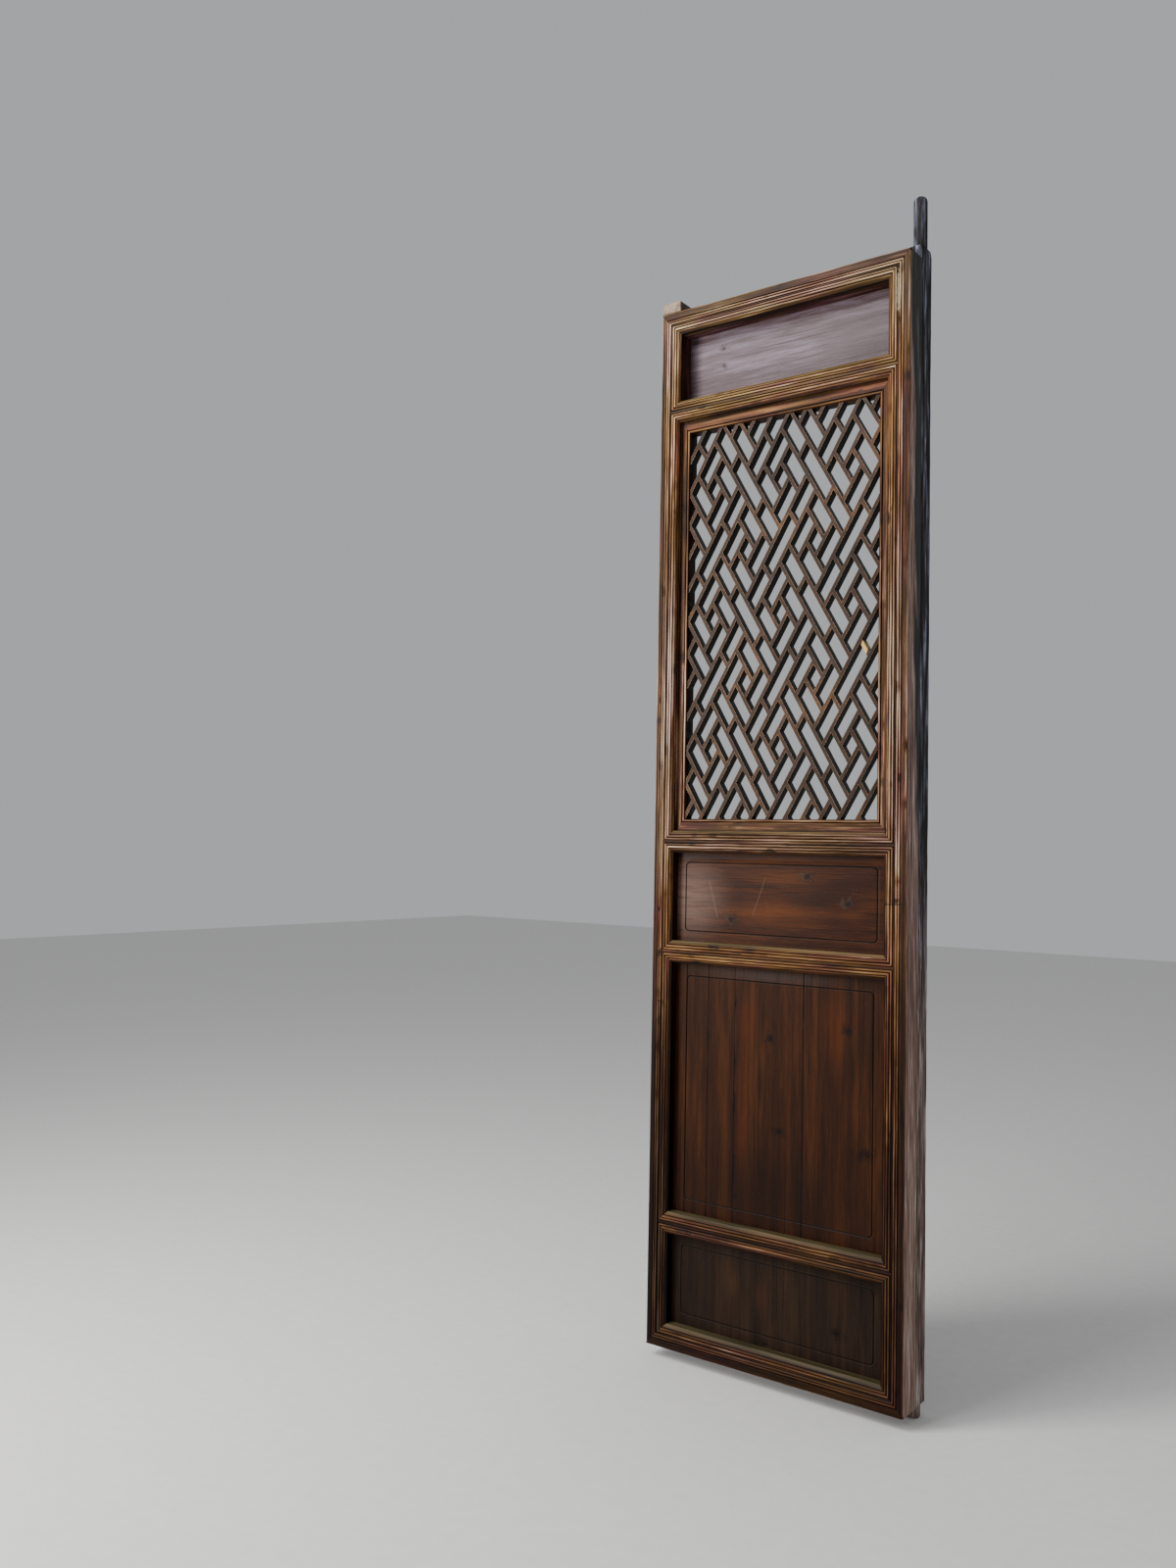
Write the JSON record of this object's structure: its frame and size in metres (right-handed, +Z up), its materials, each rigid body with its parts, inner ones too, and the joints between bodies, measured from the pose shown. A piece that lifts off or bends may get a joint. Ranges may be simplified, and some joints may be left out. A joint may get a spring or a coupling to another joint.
{
  "type": "wooden lattice door leaf with a fretwork grille",
  "caption": "Tall moulded wooden door leaf: an open diagonal fretwork grille over solid panels, hung on a pivot post behind one stile.",
  "frame": {"origin": "centre of the lower pivot's end face, on the line that the leaf hangs on", "axes": "+X to the right and +Z up as seen from the moulded front, which faces -Y"},
  "size_m": [0.696, 0.1353, 2.903],
  "materials": {
    "frame_wood": "old oiled softwood with worn, lighter arrises and dark grooves",
    "fret_wood": "old brown-stained softwood, lighter along the worn edges",
    "upper_panel_wood": "bleached greyish-mauve board with a soft sheen",
    "waist_panel_wood": "reddish-brown board, satin",
    "skirt_panel_wood": "dark brown boards with vertical grain, satin",
    "foot_panel_wood": "very dark brown board, satin",
    "post_wood": "weathered grey-black timber, matt"
  },
  "bodies": {
    "root": {"meeting_stile": "frame_wood", "hinge_stile": "frame_wood", "foot_rail": "frame_wood", "skirt_rail": "frame_wood", "waist_rail": "frame_wood", "grille_rail": "frame_wood", "upper_rail": "frame_wood", "top_rail": "frame_wood", "foot_panel": "foot_panel_wood", "skirt_panel": "skirt_panel_wood", "waist_panel": "waist_panel_wood", "top_panel": "upper_panel_wood", "lattice_frame_left": "frame_wood", "lattice_frame_right": "frame_wood", "lattice_frame_top": "frame_wood", "lattice_frame_bottom": "frame_wood", "fret": "fret_wood", "hinge_post": "post_wood"}
  },
  "joints": []
}
